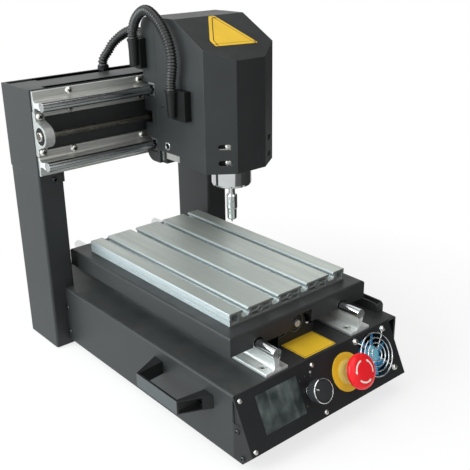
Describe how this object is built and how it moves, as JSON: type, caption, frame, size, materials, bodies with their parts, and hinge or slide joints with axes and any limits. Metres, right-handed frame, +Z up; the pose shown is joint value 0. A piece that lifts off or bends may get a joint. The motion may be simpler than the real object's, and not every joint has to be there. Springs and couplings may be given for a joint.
{
  "type": "desktop cnc milling machine",
  "caption": "Desktop milling machine with a T-slot table on twin rails, a fixed gantry, an enclosed spindle head and a slanted control panel.",
  "frame": {"origin": "centre of the machine's box, on the surface that it stands on", "axes": "+X to the operator's right, +Y to the back, +Z up and square to the table's top face"},
  "size_m": [0.366, 0.4702, 0.4403],
  "materials": {
    "black_paint": "fine satin black powder coat",
    "display": "glossy display window with a protective film",
    "steel": "bright turned steel",
    "chrome": "polished hardened shafts and wires",
    "screw_steel": "rolled lead screw",
    "carbide": "ground carbide",
    "stop_yellow": "plain yellow plate",
    "stop_red": "bright red mushroom head",
    "stop_grey": "grey switch body",
    "black_plastic": "black moulded plastic",
    "gland_grey": "dark grey moulded hose fitting",
    "fan_blue": "blue impeller",
    "rubber": "black rubber",
    "aluminium": "extruded aluminium",
    "table_aluminium": "anodised T-slot extrusion",
    "cast_grey": "cast and machined bearing blocks",
    "motor_black": "black stepper motor",
    "bronze": "bronze nut",
    "board": "green circuit board"
  },
  "bodies": {
    "frame": {"chassis_shell": "black_paint", "bottom_plate": "black_paint", "front_panel": "black_paint", "display_module": "display", "speed_pot": "steel", "estop_plate": "stop_yellow", "estop_body": "stop_grey", "fan_frame": "black_plastic", "fan_guard": "chrome", "rubber_feet": "rubber", "left_handle": "black_plastic", "right_handle": "black_plastic", "power_supply": "aluminium", "controller_board": "board", "mains_inlet": "black_plastic", "cable_trough": "black_paint", "left_column": "black_paint", "right_column": "black_paint", "beam": "black_paint", "beam_ends": "black_paint", "y_rail_left": "aluminium", "y_rail_right": "aluminium", "y_shafts": "chrome", "screw_bearings": "cast_grey", "axis_motors": "motor_black", "motor_brackets": "black_paint", "x_rail_upper": "aluminium", "x_rail_lower": "aluminium", "x_shafts": "chrome", "beam_gland": "gland_grey", "hose_beam": "black_plastic"},
    "knob": {"speed_knob": "black_plastic"},
    "stop_stem": {"estop_stem": "stop_grey"},
    "stop_button": {"estop_button": "stop_red"},
    "fan": {"fan_rotor": "fan_blue"},
    "y_screw": {"y_screw": "screw_steel", "y_coupler": "aluminium"},
    "table": {"table_carriage": "black_paint", "t_slot_table": "table_aluminium", "y_blocks": "cast_grey", "y_nut": "bronze"},
    "x_screw": {"x_screw": "screw_steel", "x_coupler": "aluminium"},
    "x_carriage": {"x_plate": "aluminium", "x_housing": "black_paint", "x_blocks": "cast_grey", "x_nut": "bronze", "z_end_plates": "aluminium", "z_rods": "steel", "z_motor": "motor_black", "carriage_gland": "gland_grey", "hose_head": "black_plastic"},
    "z_screw": {"z_screw": "screw_steel"},
    "head": {"head_cover": "black_paint", "head_gland": "gland_grey", "z_slider": "aluminium", "spindle_clamp": "aluminium", "spindle_motor": "steel"},
    "spindle": {"tool_holder": "steel", "cutter": "carbide"}
  },
  "joints": [
    {"name": "knob_turn", "type": "hinge", "parent": "frame", "child": "knob", "pos_m": [-0.0505, -0.20213, 0.05629], "axis": [0, -0.8973, 0.4415], "range_deg": [-150, 150]},
    {"name": "stop_push", "type": "slide", "parent": "frame", "child": "stop_stem", "axis": [0, -0.8973, 0.4415], "range_m": [-0.004, 0]},
    {"name": "stop_twist", "type": "hinge", "parent": "stop_stem", "child": "stop_button", "pos_m": [0.0097, -0.20244, 0.05566], "axis": [0, -0.8973, 0.4415], "range_deg": [-40, 0]},
    {"name": "fan_spin", "type": "hinge", "parent": "frame", "child": "fan", "pos_m": [0.0593, -0.20133, 0.0579], "axis": [0, -0.8973, 0.4415], "continuous": true},
    {"name": "y_slide", "type": "slide", "parent": "frame", "child": "table", "axis": [0, 1, 0], "range_m": [-0.0545, 0.1255]},
    {"name": "y_screw_spin", "type": "hinge", "parent": "frame", "child": "y_screw", "pos_m": [-0.017, 0.012, 0.106], "axis": [0, 1, 0], "range_deg": [-9056, 3944]},
    {"name": "x_slide", "type": "slide", "parent": "frame", "child": "x_carriage", "axis": [1, 0, 0], "range_m": [-0.138, 0.006], "deforming": ["hose_beam"]},
    {"name": "x_screw_spin", "type": "hinge", "parent": "frame", "child": "x_screw", "pos_m": [-0.017, 0.138, 0.2966], "axis": [1, 0, 0], "range_deg": [-452, 9956]},
    {"name": "z_slide", "type": "slide", "parent": "x_carriage", "child": "head", "axis": [0, 0, 1], "range_m": [-0.0165, 0.05], "deforming": ["hose_head"]},
    {"name": "z_screw_spin", "type": "hinge", "parent": "x_carriage", "child": "z_screw", "pos_m": [0.0464, 0.087, 0.3], "axis": [0, 0, 1], "range_deg": [-3620, 1208]},
    {"name": "spindle_spin", "type": "hinge", "parent": "head", "child": "spindle", "pos_m": [0.0464, 0.038, 0.19], "axis": [0, 0, 1], "continuous": true}
  ],
  "couplings": [
    {"joint": "y_screw_spin", "follows": "y_slide", "rad_per_m": -1256.6},
    {"joint": "x_screw_spin", "follows": "x_slide", "rad_per_m": -1256.6},
    {"joint": "z_screw_spin", "follows": "z_slide", "rad_per_m": -1256.6}
  ]
}
